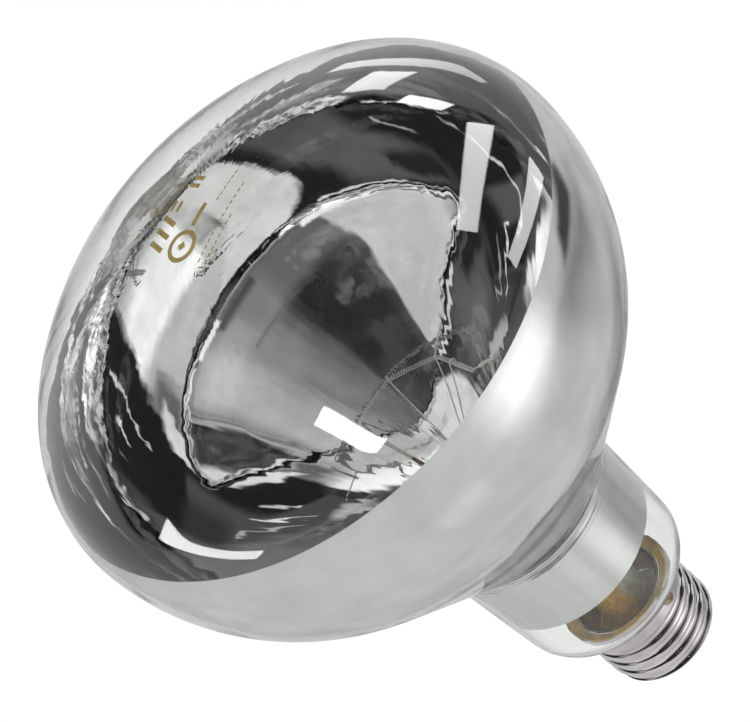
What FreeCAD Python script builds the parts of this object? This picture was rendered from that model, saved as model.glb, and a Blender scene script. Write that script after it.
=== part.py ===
"""Reflector heat lamp with a screw cap, in millimetres.

The lamp stands on its cap: +Z runs along its axis from the centre contact to the face, the
origin is the tip of the centre solder, and the filament's open side faces -Y. Every height
follows from the cap, and every piece inside from the piece that carries it.
"""
import FreeCAD, Part
import os
from math import acos, asin, atan2, ceil, cos, pi, radians, sin, sqrt, tan

from FreeCAD import Vector

# Screw cap with a rolled knuckle thread
CAP_HEIGHT = 27.0
SHEET = 0.3
CREST_RADIUS = 13.15
THREAD_PITCH = 3.629
THREAD_DEPTH = 1.05
THREAD_LAND = 0.1
THREAD_END_ANGLE = 107.53
ROOT_OVERLAP = 0.02
SKIRT_LENGTH = 4.3
SKIRT_STEP = 0.05
SKIRT_FLARE = 0.15
FOOT_HEIGHT = 7.0
FOOT_MOUTH_RADIUS = 9.6
FOOT_ROUND = 2.4

# Glass envelope, outer surface
RIM_GAP = 0.35
TAIL_CLEARANCE = 0.35
TAIL_FILLET = 1.3
NECK_RADIUS = 20.4
NECK_FLARE_ANGLE = 2.4
THROAT_FILLET = 6.0
REFLECTOR_HALF_ANGLE = 39.4
REFLECTOR_ARC_RADIUS = 52.0
FACE_RADIUS = 62.5
FACE_ABOVE_CAP = 108.5
KNUCKLE_RADIUS = 20.8
CROWN_RADIUS = 81.6
GLASS_WALL = 1.1

# Aluminium film on the inside of the glass
FILM_THICKNESS = 0.1
MIRROR_ABOVE_CAP = 20.0
MIRROR_PAST_FACE = 8.1

# Centre contact
SOLDER_HEIGHT = 1.2
SOLDER_RADIUS = 3.4
CONTACT_RADIUS = 5.2
CONTACT_THICKNESS = 1.0
EYELET_RADIUS = 1.9
EYELET_WALL = 0.8
EYELET_LENGTH = 3.0
INSULATOR_BRIM = 0.6
INSULATOR_DEPTH = 3.5

# Side contact
SIDE_CONTACT_ANGLE = -65.0
SIDE_SOLDER_RADIUS = 1.8
SIDE_SOLDER_SINK = 0.7
FIT_CLEARANCE = 0.05

# Capping cement
CEMENT_ABOVE_INSULATOR = 1.5
CEMENT_BEAD = 0.9
BEAD_INSET = 0.3

# Glass stem
SEAL_ABOVE_INSULATOR = 6.7
STEM_RADIUS = 6.0
STEM_WALL = 1.0
STEM_TUBE_LENGTH = 26.5
PINCH_LENGTH = 8.0
PRESS_LENGTH = 12.5
PRESS_WIDTH = 13.0
PRESS_THICKNESS = 4.4
CAVITY_LENGTH = 4.5
EXHAUST_RADIUS = 2.0
EXHAUST_WALL = 0.6
EXHAUST_TIP_DROP = 4.5
EXHAUST_TIP_LENGTH = 5.0
CANE_RADIUS = 1.2
CANE_LENGTH = 14.5
BUTTON_RADIUS = 2.6

# Wires
LEAD_RADIUS = 0.4
LEAD_STUB = 2.0
LEAD_KNEE_RISE = 2.0
LEAD_BEND = 3.0
LEAD_END_GAP = 1.3
WELD_FRACTION = 0.62
OUTER_LEAD_RADIUS = 0.25
SUPPORT_RADIUS = 0.15
SUPPORT_EMBED = 0.6
HOOK_CLEARANCE = 0.12
HOOK_SWEEP = 250.0
TAIL_SWEEP = 56.0
TAIL_LENGTH = 8.5
WIRE_BEND = 1.0

# Filament: a coil in straight spans at one height, with its corners at the hooks
FILAMENT_BELOW_FACE = 37.5
COIL_RADIUS = 0.5
COIL_WIRE_RADIUS = 0.1
COIL_LINK_RADIUS = 0.12
COIL_PITCH = 0.57
SPAN_END_GAP = 0.2
COIL_CORNERS = [(-7.1, 15.3), (1.55, 16.2), (11.4, 9.65), (12.5, 4.8), (14.06, -2.1)]
LEAD_A_REACH = Vector(-2.6, -0.2, -0.9)
LEAD_B_REACH = Vector(4.1, -0.2, -0.9)

AXIS = Vector(0, 0, 1)
CENTRE = Vector(0, 0, 0)


def polar(centre, radius, angle):
    """Point at an angle on a circle in the half plane where X is the radius."""
    return centre + Vector(radius * cos(angle), 0, radius * sin(angle))


def arc(centre, radius, start, end):
    """Arc of a circle in the half plane, between two angles."""
    angles = (start, (start + end) / 2, end)
    return Part.Arc(*[polar(centre, radius, angle) for angle in angles]).toShape()


def line_on(edges, point):
    """Add a line from the end of the last edge to a point."""
    edges.append(Part.makeLine(edges[-1].lastVertex(True).Point, point))


def revolved(edges):
    """Solid of revolution of a closed outline."""
    outline = Part.Wire(Part.__sortEdges__(edges))
    return Part.Face(outline).revolve(CENTRE, AXIS, 360)


def turned(points):
    """Solid of revolution of a polygon given as radius and height."""
    corners = [Vector(radius, 0, height) for radius, height in points]
    outline = Part.makePolygon(corners + corners[:1])
    return Part.Face(outline).revolve(CENTRE, AXIS, 360)


def rod(start, end, radius):
    """Round rod between two points."""
    return Part.makeCylinder(radius, start.distanceToPoint(end), start, end - start)


def rounded_rod(start, end, radius):
    """Round rod with round ends."""
    return rod(start, end, radius).fuse([Part.makeSphere(radius, start), Part.makeSphere(radius, end)])


def swept_wire(path, radius):
    """Round wire along a path of lines and tangent arcs."""
    start = path[0].firstVertex(True).Point
    heading = path[0].tangentAt(path[0].FirstParameter)
    section = Part.Wire([Part.makeCircle(radius, start, heading)])
    return Part.Wire(path).makePipeShell([section], True, True)


def bent_path(points, bend_radius):
    """Straight runs through the points, joined by tangent arcs."""
    path = []
    start = points[0]
    for before, corner, after in zip(points, points[1:], points[2:]):
        arriving = (corner - before).normalize()
        leaving = (after - corner).normalize()
        turn = arriving.getAngle(leaving)
        setback = bend_radius * tan(turn / 2)
        bisector = (leaving - arriving).normalize()
        arc_start = corner - arriving * setback
        arc_end = corner + leaving * setback
        arc_middle = corner + bisector * (bend_radius / cos(turn / 2) - bend_radius)
        path.append(Part.makeLine(start, arc_start))
        path.append(Part.Arc(arc_start, arc_middle, arc_end).toShape())
        start = arc_end
    path.append(Part.makeLine(start, points[-1]))
    return path


def lift(point, height):
    """The point moved up to a height."""
    return Vector(point.x, point.y, height)


# Screw cap, worked out from its thread and height
ROOT_RADIUS = CREST_RADIUS - THREAD_DEPTH
RIDGE_HALF = (THREAD_PITCH - THREAD_LAND) / 2
RIDGE_ROUND = (RIDGE_HALF ** 2 + THREAD_DEPTH ** 2) / (4 * THREAD_DEPTH)
SKIRT_BOTTOM = CAP_HEIGHT - SKIRT_LENGTH
SKIRT_BOTTOM_RADIUS = CREST_RADIUS + SKIRT_STEP
RIM_RADIUS = SKIRT_BOTTOM_RADIUS + SKIRT_FLARE
FOOT_CENTRE = Vector(CREST_RADIUS - FOOT_ROUND, 0, FOOT_HEIGHT + FOOT_ROUND)
CORE_FLOOR = FOOT_HEIGHT - 3 * THREAD_PITCH
INSULATOR_SEAT = FOOT_HEIGHT + SHEET
INSULATOR_TOP = INSULATOR_SEAT + INSULATOR_DEPTH


def thread_ridge(depth):
    """The rolled ridge, in whole turns down from inside the skirt until it is below the foot."""
    crest_centre = Vector(CREST_RADIUS - RIDGE_ROUND, 0, 0)
    root_offset = 2 * RIDGE_ROUND - THREAD_DEPTH
    tilt = atan2(RIDGE_HALF, root_offset)
    upper_root = crest_centre + Vector(root_offset, 0, RIDGE_HALF)
    lower_root = crest_centre + Vector(root_offset, 0, -RIDGE_HALF)
    section = [arc(lower_root, RIDGE_ROUND + depth, pi, pi - tilt),
               arc(crest_centre, RIDGE_ROUND - depth, -tilt, tilt),
               arc(upper_root, RIDGE_ROUND + depth, pi + tilt, pi)]
    base_radius = ROOT_RADIUS - depth
    buried_radius = base_radius - SHEET / 2
    line_on(section, Vector(buried_radius, 0, RIDGE_HALF))
    line_on(section, Vector(buried_radius, 0, -RIDGE_HALF))
    line_on(section, Vector(base_radius, 0, -RIDGE_HALF))
    end = SKIRT_BOTTOM + RIDGE_HALF
    climb = ceil((end - FOOT_HEIGHT + RIDGE_HALF) / THREAD_PITCH) * THREAD_PITCH
    helix = Part.makeHelix(THREAD_PITCH, climb, base_radius)
    profile = Part.Wire(Part.__sortEdges__(section))
    ridge = Part.Wire(helix.Edges).makePipeShell([profile], True, True)
    ridge.translate(AXIS * (end - climb))
    ridge.rotate(CENTRE, AXIS, THREAD_END_ANGLE)
    return ridge


def shell_core(depth):
    """Thread root from below the foot, its blend and the skirt, offset inwards by a depth."""
    root = ROOT_RADIUS + ROOT_OVERLAP - depth
    skirt_foot = SKIRT_BOTTOM_RADIUS - depth
    turn = acos(1 - (skirt_foot - root) / (2 * RIDGE_ROUND))
    blend_start = SKIRT_BOTTOM - 2 * RIDGE_ROUND * sin(turn)
    edges = [Part.makeLine(AXIS * CORE_FLOOR, Vector(root, 0, CORE_FLOOR))]
    line_on(edges, Vector(root, 0, blend_start))
    edges.append(arc(Vector(root + RIDGE_ROUND, 0, blend_start), RIDGE_ROUND, pi, pi - turn))
    edges.append(arc(Vector(skirt_foot - RIDGE_ROUND, 0, SKIRT_BOTTOM), RIDGE_ROUND, -turn, 0))
    line_on(edges, Vector(RIM_RADIUS - depth, 0, CAP_HEIGHT))
    line_on(edges, AXIS * CAP_HEIGHT)
    line_on(edges, AXIS * CORE_FLOOR)
    return revolved(edges)


def foot_form(depth):
    """Round foot that trims the thread's lower end, offset inwards by a depth."""
    floor = FOOT_HEIGHT + depth
    clear_radius = RIM_RADIUS + SHEET
    edges = [Part.makeLine(Vector(0, 0, floor), Vector(FOOT_CENTRE.x, 0, floor)),
             arc(FOOT_CENTRE, FOOT_ROUND - depth, -pi / 2, 0)]
    line_on(edges, Vector(clear_radius, 0, FOOT_CENTRE.z + SHEET))
    line_on(edges, Vector(clear_radius, 0, CAP_HEIGHT))
    line_on(edges, Vector(0, 0, CAP_HEIGHT))
    line_on(edges, Vector(0, 0, floor))
    return revolved(edges)


def shell_form(depth):
    """Everything inside the cap's surface, offset inwards by a depth."""
    return shell_core(depth).fuse(thread_ridge(depth)).common(foot_form(depth))


def rim_notch():
    """Slot in the rim that the side lead crosses."""
    width = 2 * (OUTER_LEAD_RADIUS + FIT_CLEARANCE)
    slot = Part.makeBox(2 * RIM_RADIUS, width, width, Vector(0, -width / 2, CAP_HEIGHT - width))
    slot.rotate(CENTRE, AXIS, SIDE_CONTACT_ANGLE)
    return slot


def cap_shell():
    """Thin screw shell with its rolled thread, open at the rim and at the foot."""
    mouth = Part.makeCylinder(FOOT_MOUTH_RADIUS, SHEET, AXIS * FOOT_HEIGHT)
    return shell_form(0).cut(shell_form(SHEET)).cut(mouth).cut(rim_notch())


# Envelope outline: tail, shoulder, neck, throat, reflector, knuckle and crown, all tangent
HALF_ANGLE = radians(REFLECTOR_HALF_ANGLE)
FLARE = radians(NECK_FLARE_ANGLE)
TAIL_RADIUS = ROOT_RADIUS - SHEET - 2 * (OUTER_LEAD_RADIUS + TAIL_CLEARANCE)
SEAL_HEIGHT = INSULATOR_TOP + SEAL_ABOVE_INSULATOR
FACE_HEIGHT = CAP_HEIGHT + FACE_ABOVE_CAP
SHOULDER_FLOOR = CAP_HEIGHT + RIM_GAP
SHOULDER_ROUND = NECK_RADIUS - TAIL_RADIUS - TAIL_FILLET
TAIL_FILLET_CENTRE = Vector(TAIL_RADIUS + TAIL_FILLET, 0, SHOULDER_FLOOR - TAIL_FILLET)
SHOULDER_CENTRE = Vector(TAIL_RADIUS + TAIL_FILLET, 0, SHOULDER_FLOOR + SHOULDER_ROUND)
REFLECTOR_CENTRE = Vector(FACE_RADIUS - REFLECTOR_ARC_RADIUS, 0, FACE_HEIGHT)
KNUCKLE_CENTRE = Vector(FACE_RADIUS - KNUCKLE_RADIUS, 0, FACE_HEIGHT)
CROWN_DROP = sqrt((CROWN_RADIUS - KNUCKLE_RADIUS) ** 2 - KNUCKLE_CENTRE.x ** 2)
CROWN_CENTRE = AXIS * (FACE_HEIGHT - CROWN_DROP)
KNUCKLE_END = atan2(CROWN_DROP, KNUCKLE_CENTRE.x)
MIRROR_END = asin(MIRROR_PAST_FACE / KNUCKLE_RADIUS)


def throat_centre():
    """Centre of the fillet between neck and reflector cone, which lies outside both."""
    neck_line = SHOULDER_CENTRE.x * cos(FLARE) - SHOULDER_CENTRE.z * sin(FLARE)
    neck_line += SHOULDER_ROUND + THROAT_FILLET
    cone_line = REFLECTOR_CENTRE.x * cos(HALF_ANGLE) - REFLECTOR_CENTRE.z * sin(HALF_ANGLE)
    cone_line += REFLECTOR_ARC_RADIUS + THROAT_FILLET
    spread = sin(HALF_ANGLE - FLARE)
    radius = (neck_line * sin(HALF_ANGLE) - cone_line * sin(FLARE)) / spread
    height = (neck_line * cos(HALF_ANGLE) - cone_line * cos(FLARE)) / spread
    return Vector(radius, 0, height)


THROAT_CENTRE = throat_centre()


def tail_edges(depth):
    """Tail, its fillet and the shoulder, offset inwards by a depth."""
    foot = Vector(TAIL_RADIUS - depth, 0, SEAL_HEIGHT)
    return [Part.makeLine(foot, polar(TAIL_FILLET_CENTRE, TAIL_FILLET + depth, pi)),
            arc(TAIL_FILLET_CENTRE, TAIL_FILLET + depth, pi, pi / 2),
            arc(SHOULDER_CENTRE, SHOULDER_ROUND - depth, -pi / 2, -FLARE)]


def reflector_edges(depth, start):
    """Neck from a start point, throat, cone and the curve up to the widest ring."""
    neck_end = polar(THROAT_CENTRE, THROAT_FILLET + depth, pi - FLARE)
    edges = [Part.makeLine(start, neck_end),
             arc(THROAT_CENTRE, THROAT_FILLET + depth, pi - FLARE, pi - HALF_ANGLE)]
    line_on(edges, polar(REFLECTOR_CENTRE, REFLECTOR_ARC_RADIUS - depth, -HALF_ANGLE))
    edges.append(arc(REFLECTOR_CENTRE, REFLECTOR_ARC_RADIUS - depth, -HALF_ANGLE, 0))
    return edges


def envelope_edges(depth):
    """The whole half outline, from the tail's end to the middle of the crown."""
    neck_start = polar(SHOULDER_CENTRE, SHOULDER_ROUND - depth, -FLARE)
    front = [arc(KNUCKLE_CENTRE, KNUCKLE_RADIUS - depth, 0, KNUCKLE_END),
             arc(CROWN_CENTRE, CROWN_RADIUS - depth, KNUCKLE_END, pi / 2)]
    return tail_edges(depth) + reflector_edges(depth, neck_start) + front


def film_edges(depth):
    """The silvered stretch of the outline, from the neck edge to the front edge."""
    up_the_neck = Vector(sin(FLARE), 0, cos(FLARE))
    neck_start = polar(SHOULDER_CENTRE, SHOULDER_ROUND - depth, -FLARE)
    edge = neck_start + up_the_neck * (CAP_HEIGHT + MIRROR_ABOVE_CAP - SHOULDER_CENTRE.z)
    front = arc(KNUCKLE_CENTRE, KNUCKLE_RADIUS - depth, 0, MIRROR_END)
    return reflector_edges(depth, edge) + [front]


def between(outer, inner):
    """Solid of revolution between two half outlines."""
    foot = Part.makeLine(outer[0].firstVertex(True).Point, inner[0].firstVertex(True).Point)
    head = Part.makeLine(outer[-1].lastVertex(True).Point, inner[-1].lastVertex(True).Point)
    return revolved(outer + inner + [foot, head])


def glass_envelope():
    """Blown envelope of one wall, open only at its tail, where the flare is sealed on."""
    return between(envelope_edges(0), envelope_edges(GLASS_WALL))


def mirror_coating():
    """Aluminium film on the inside of the neck and reflector."""
    return between(film_edges(GLASS_WALL), film_edges(GLASS_WALL + FILM_THICKNESS))


def shoulder_plug():
    """The space that the envelope's tail and shoulder fill, taken as solid."""
    edges = tail_edges(0)
    line_on(edges, Vector(0, 0, edges[-1].lastVertex(True).Point.z))
    line_on(edges, Vector(0, 0, SEAL_HEIGHT))
    line_on(edges, Vector(TAIL_RADIUS, 0, SEAL_HEIGHT))
    return revolved(edges)


# Glass stem: flare, tube, press and the parts sealed to it
STEM_BORE = STEM_RADIUS - STEM_WALL
FLARE_ROUND = TAIL_RADIUS - GLASS_WALL - STEM_RADIUS
FLARE_CENTRE = Vector(STEM_RADIUS + FLARE_ROUND, 0, SEAL_HEIGHT + FLARE_ROUND)
TUBE_TOP = SEAL_HEIGHT + STEM_TUBE_LENGTH
CAVITY_TOP = TUBE_TOP + CAVITY_LENGTH
PRESS_BOTTOM = TUBE_TOP + PINCH_LENGTH
PRESS_TOP = PRESS_BOTTOM + PRESS_LENGTH
EXHAUST_BORE = EXHAUST_RADIUS - EXHAUST_WALL
EXHAUST_TIP = SEAL_HEIGHT - EXHAUST_TIP_DROP
BUTTON = AXIS * (PRESS_TOP + CANE_LENGTH)
LEAD_OFFSET = (EXHAUST_RADIUS + STEM_BORE) / 2
LEAD_FOOT = CAVITY_TOP - LEAD_STUB


def stem_section(width, thickness, height):
    """Outline of the stem across its axis: a circle, or an ellipse that is wide along X."""
    if width == thickness:
        return Part.Wire([Part.makeCircle(width / 2, AXIS * height)])
    return Part.Wire([Part.Ellipse(AXIS * height, width / 2, thickness / 2).toShape()])


def flare_tube():
    """Trumpet of the flare and the tube above it."""
    edges = [Part.makeLine(Vector(TAIL_RADIUS, 0, SEAL_HEIGHT - STEM_WALL),
                           Vector(TAIL_RADIUS, 0, SEAL_HEIGHT))]
    line_on(edges, Vector(FLARE_CENTRE.x, 0, SEAL_HEIGHT))
    edges.append(arc(FLARE_CENTRE, FLARE_ROUND, -pi / 2, -pi))
    line_on(edges, Vector(STEM_RADIUS, 0, TUBE_TOP))
    line_on(edges, Vector(STEM_BORE, 0, TUBE_TOP))
    line_on(edges, Vector(STEM_BORE, 0, FLARE_CENTRE.z))
    edges.append(arc(FLARE_CENTRE, FLARE_ROUND + STEM_WALL, -pi, -pi / 2))
    line_on(edges, edges[0].firstVertex(True).Point)
    return revolved(edges)


def pumping_ways():
    """Hollow above the tube, and the bore that leads sideways out of the press."""
    cavity = turned([(0, TUBE_TOP), (STEM_BORE, TUBE_TOP), (EXHAUST_RADIUS, CAVITY_TOP), (0, CAVITY_TOP)])
    way_up = Part.makeCylinder(EXHAUST_BORE, 2 * EXHAUST_BORE, AXIS * CAVITY_TOP)
    way_out = Part.makeCylinder(EXHAUST_BORE / 2, PRESS_WIDTH, AXIS * (CAVITY_TOP + EXHAUST_BORE),
                                Vector(0, 1, 0))
    return cavity.fuse([way_up, way_out])


def stem_flare():
    """Flare, tube and flattened press as one piece of glass round the sealed wires."""
    round_width = 2 * STEM_RADIUS
    middle = stem_section((round_width + PRESS_WIDTH) / 2, (round_width + PRESS_THICKNESS) / 2,
                          (TUBE_TOP + PRESS_BOTTOM) / 2)
    top = stem_section(PRESS_WIDTH, PRESS_THICKNESS, PRESS_BOTTOM)
    pinch = Part.makeLoft([stem_section(round_width, round_width, TUBE_TOP), middle, top], True, False)
    press = Part.Face(top).extrude(AXIS * PRESS_LENGTH)
    glass = flare_tube().fuse([pinch, press]).cut(pumping_ways())
    return glass.cut([seal_wire(LEAD_A), seal_wire(LEAD_B), outer_lead_side(), outer_lead_centre()])


def exhaust_tube():
    """Pumping tube inside the stem, drawn to a sealed tip inside the cap."""
    neck = EXHAUST_TIP + EXHAUST_TIP_LENGTH
    return turned([(EXHAUST_BORE, CAVITY_TOP), (EXHAUST_RADIUS, CAVITY_TOP), (EXHAUST_RADIUS, neck),
                   (EXHAUST_WALL, EXHAUST_TIP), (0, EXHAUST_TIP), (0, EXHAUST_TIP + EXHAUST_WALL),
                   (EXHAUST_BORE, neck)])


def stem_cane():
    """Glass rod on the press, with the button that holds the support wires."""
    cane = Part.makeCylinder(CANE_RADIUS, CANE_LENGTH, AXIS * PRESS_TOP)
    return cane.fuse(Part.makeSphere(BUTTON_RADIUS, BUTTON)).cut(list(supports().values()))


# Filament and the wires that carry it
FILAMENT_HEIGHT = FACE_HEIGHT - FILAMENT_BELOW_FACE
COIL = [Vector(x, y, FILAMENT_HEIGHT) for x, y in COIL_CORNERS]
COIL_MEAN_RADIUS = COIL_RADIUS - COIL_WIRE_RADIUS
HOOK_RADIUS = COIL_RADIUS + HOOK_CLEARANCE + SUPPORT_RADIUS


def lead_points(offset, coil_end, reach):
    """Route of one lead: up through the press, out to its shoulder, over towards the coil."""
    shoulder = coil_end + reach
    end = coil_end + Vector(reach).normalize() * LEAD_END_GAP
    return [Vector(offset, 0, LEAD_FOOT), Vector(offset, 0, PRESS_TOP + LEAD_KNEE_RISE), shoulder, end]


LEAD_A = lead_points(-LEAD_OFFSET, COIL[0], LEAD_A_REACH)
LEAD_B = lead_points(LEAD_OFFSET, COIL[-1], LEAD_B_REACH)


def weld(points):
    """Where the copper-clad wire of a lead is butt-welded to the nickel one."""
    return points[1] + (points[2] - points[1]) * WELD_FRACTION


def seal_wire(points):
    """Copper-clad wire of a lead, from below the press up to the weld."""
    return swept_wire(bent_path([points[0], points[1], weld(points)], LEAD_BEND), LEAD_RADIUS)


def inner_lead(points, coil_leg):
    """Nickel wire of a lead, from the weld to its end, which grips the coil's leg."""
    return swept_wire(bent_path([weld(points), points[2], points[3]], WIRE_BEND), LEAD_RADIUS).cut(coil_leg)


def support(hold, along, sweep, tail):
    """Support wire from the button to a hook round the coil, and on along a tail."""
    outward = lift(hold, 0).normalize()
    socket = BUTTON + outward * (BUTTON_RADIUS - SUPPORT_EMBED)
    reach = (hold - socket).normalize()
    side = along.cross(reach).normalize()
    if side.z < 0:
        side = side * -1
    start = socket + side * HOOK_RADIUS
    turns = [hold + side * (HOOK_RADIUS * cos(angle)) + reach * (HOOK_RADIUS * sin(angle))
             for angle in (0, radians(sweep / 2), radians(sweep))]
    path = [Part.makeLine(start, turns[0]), Part.Arc(*turns).toShape()]
    if tail > 0:
        heading = reach * cos(radians(sweep)) - side * sin(radians(sweep))
        line_on(path, turns[2] + heading * tail)
    return swept_wire(path, SUPPORT_RADIUS)


def supports():
    """The three support wires by name; the middle one runs on past its hook."""
    holds = zip("abc", COIL, COIL[1:], COIL[2:])
    wires = {}
    for letter, before, hold, after in holds:
        runs_on = letter == "b"
        sweep = TAIL_SWEEP if runs_on else HOOK_SWEEP
        tail = TAIL_LENGTH if runs_on else 0
        wires["filament_support_" + letter] = support(hold, (after - before).normalize(), sweep, tail)
    return wires


def coil_span(start, end):
    """One stretched span of the coil and the two ends of its wire, both on its upper side."""
    along = (end - start).normalize()
    foot = start + along * SPAN_END_GAP
    head = end - along * SPAN_END_GAP
    length = foot.distanceToPoint(head)
    turns = round(length / COIL_PITCH)
    helix = Part.Wire(Part.makeHelix(length / turns, length, COIL_MEAN_RADIUS).Edges)
    heading = helix.Edges[0].tangentAt(helix.Edges[0].FirstParameter)
    section = Part.Wire([Part.makeCircle(COIL_WIRE_RADIUS, Vector(COIL_MEAN_RADIUS, 0, 0), heading)])
    span = helix.makePipeShell([section], True, True)
    span.Placement = FreeCAD.Placement(foot, FreeCAD.Rotation(AXIS, along.cross(AXIS), along, "ZXY"))
    upper_side = AXIS * COIL_MEAN_RADIUS
    return span, foot + upper_side, head + upper_side


def filament(spans, legs):
    """Tungsten coil: its spans joined at the hooks, with a leg to each lead."""
    wire = spans[0][0]
    for (_, _, head), (span, foot, _) in zip(spans, spans[1:]):
        wire = wire.fuse(rounded_rod(head, foot, COIL_LINK_RADIUS)).fuse(span)
    for leg in legs:
        wire = wire.fuse(leg)
    return wire


# Outer leads, solder, contact and cement
CONTACT_TOP = SOLDER_HEIGHT + CONTACT_THICKNESS
EYELET_BORE = EYELET_RADIUS - EYELET_WALL
LEAD_CROSSING = SEAL_HEIGHT - STEM_WALL - 2 * OUTER_LEAD_RADIUS - WIRE_BEND
SIDE_WAY = Vector(cos(radians(SIDE_CONTACT_ANGLE)), sin(radians(SIDE_CONTACT_ANGLE)), 0)


def outer_lead_side():
    """Copper lead down out of the flare, up past the tail and over the rim into the solder."""
    beside_tail = SIDE_WAY * (TAIL_RADIUS + TAIL_CLEARANCE + OUTER_LEAD_RADIUS)
    over_rim = CAP_HEIGHT - OUTER_LEAD_RADIUS - FIT_CLEARANCE
    points = [Vector(-LEAD_OFFSET, 0, LEAD_FOOT),
              Vector(-LEAD_OFFSET, 0, LEAD_CROSSING),
              lift(beside_tail, LEAD_CROSSING),
              lift(beside_tail, over_rim),
              lift(SIDE_WAY * (RIM_RADIUS + OUTER_LEAD_RADIUS), over_rim)]
    return swept_wire(bent_path(points, WIRE_BEND), OUTER_LEAD_RADIUS)


def outer_lead_centre():
    """Copper lead down through the insulator and the eyelet into the centre solder."""
    points = [Vector(LEAD_OFFSET, 0, LEAD_FOOT),
              Vector(LEAD_OFFSET, 0, EXHAUST_TIP + EXHAUST_RADIUS),
              AXIS * (INSULATOR_TOP - WIRE_BEND),
              AXIS * (SOLDER_HEIGHT / 2)]
    return swept_wire(bent_path(points, WIRE_BEND), OUTER_LEAD_RADIUS)


def cap_insulator():
    """Black glass cone between the shell and the centre contact."""
    brim = CONTACT_RADIUS + INSULATOR_BRIM
    body = (FOOT_MOUTH_RADIUS + FOOT_CENTRE.x) / 2
    return turned([(EYELET_RADIUS, CONTACT_TOP), (brim, CONTACT_TOP), (FOOT_MOUTH_RADIUS, FOOT_HEIGHT),
                   (FOOT_MOUTH_RADIUS, INSULATOR_SEAT), (body, INSULATOR_SEAT), (body, INSULATOR_TOP),
                   (EYELET_RADIUS, INSULATOR_TOP)])


def contact_plate():
    """Centre contact disc with an eyelet that reaches up into the insulator."""
    eyelet_top = CONTACT_TOP + EYELET_LENGTH
    return turned([(EYELET_BORE, SOLDER_HEIGHT), (CONTACT_RADIUS, SOLDER_HEIGHT), (CONTACT_RADIUS, CONTACT_TOP),
                   (EYELET_RADIUS, CONTACT_TOP), (EYELET_RADIUS, eyelet_top), (EYELET_BORE, eyelet_top)])


def centre_solder():
    """Solder with a flat tip and a round edge, and its plug in the eyelet."""
    tip_radius = SOLDER_RADIUS - SOLDER_HEIGHT
    edges = [Part.makeLine(CENTRE, Vector(tip_radius, 0, 0)),
             arc(Vector(tip_radius, 0, SOLDER_HEIGHT), SOLDER_HEIGHT, -pi / 2, 0)]
    line_on(edges, Vector(EYELET_BORE, 0, SOLDER_HEIGHT))
    line_on(edges, Vector(EYELET_BORE, 0, CONTACT_TOP))
    line_on(edges, AXIS * CONTACT_TOP)
    line_on(edges, CENTRE)
    return revolved(edges).cut(outer_lead_centre())


def side_solder():
    """Round spot of solder on the outside of the skirt, under the rim."""
    centre = lift(SIDE_WAY * (RIM_RADIUS - SIDE_SOLDER_SINK), CAP_HEIGHT - SIDE_SOLDER_RADIUS - FIT_CLEARANCE)
    skirt = turned([(0, SKIRT_BOTTOM), (SKIRT_BOTTOM_RADIUS, SKIRT_BOTTOM), (RIM_RADIUS, CAP_HEIGHT),
                    (0, CAP_HEIGHT)])
    return Part.makeSphere(SIDE_SOLDER_RADIUS, centre).cut([skirt, outer_lead_side()])


def capping_cement():
    """Cement round the tail inside the thread and the skirt, with a bead up to the glass shoulder."""
    floor = INSULATOR_TOP + CEMENT_ABOVE_INSULATOR
    thread_wall = ROOT_RADIUS - SHEET - FIT_CLEARANCE
    step = SKIRT_BOTTOM + FIT_CLEARANCE
    wall = SKIRT_BOTTOM_RADIUS + SKIRT_FLARE * FIT_CLEARANCE / SKIRT_LENGTH - SHEET
    rim = RIM_RADIUS - SHEET
    top = SHOULDER_FLOOR + CEMENT_BEAD
    ring = turned([(TAIL_RADIUS, floor), (thread_wall, floor), (thread_wall, step), (wall, step),
                   (rim, CAP_HEIGHT), (rim - BEAD_INSET, top), (TAIL_RADIUS, top)])
    return ring.cut([shoulder_plug(), outer_lead_side()])


def main():
    """Make every piece and write each one to its own file."""
    spans = [coil_span(start, end) for start, end in zip(COIL, COIL[1:])]
    leg_a = rounded_rod(LEAD_A[-1], spans[0][1], COIL_LINK_RADIUS)
    leg_b = rounded_rod(LEAD_B[-1], spans[-1][2], COIL_LINK_RADIUS)
    pieces = {
        "glass_envelope": glass_envelope(),
        "mirror_coating": mirror_coating(),
        "stem_flare": stem_flare(),
        "stem_cane": stem_cane(),
        "exhaust_tube": exhaust_tube(),
        "seal_wire_a": seal_wire(LEAD_A),
        "seal_wire_b": seal_wire(LEAD_B),
        "inner_lead_a": inner_lead(LEAD_A, leg_a),
        "inner_lead_b": inner_lead(LEAD_B, leg_b),
        "filament": filament(spans, [leg_a, leg_b]),
        "outer_lead_side": outer_lead_side(),
        "outer_lead_centre": outer_lead_centre(),
        "cap_shell": cap_shell(),
        "cap_insulator": cap_insulator(),
        "contact_plate": contact_plate(),
        "centre_solder": centre_solder(),
        "side_solder": side_solder(),
        "capping_cement": capping_cement(),
    }
    pieces.update(supports())
    os.makedirs("parts", exist_ok=True)
    for name, shape in pieces.items():
        shape.exportStep(os.path.join("parts", name + ".step"))
        print(name, len(shape.Solids), "solid, valid" if shape.isValid() else "solid, not valid",
              round(shape.Volume, 2))


main()
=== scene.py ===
"""Infrared heat lamp bulb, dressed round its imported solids.

Everything is in metres in the solids' frame: the lamp stands on its cap, +Z runs along its
axis from the centre contact to the face, and the filament's open side faces -Y.
"""
import logging
from dataclasses import dataclass, field
from enum import Enum
from math import asin, atan2, cos, hypot, pi, radians, sin, sqrt, tau

import bpy
from mathutils import Matrix, Vector, noise


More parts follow.
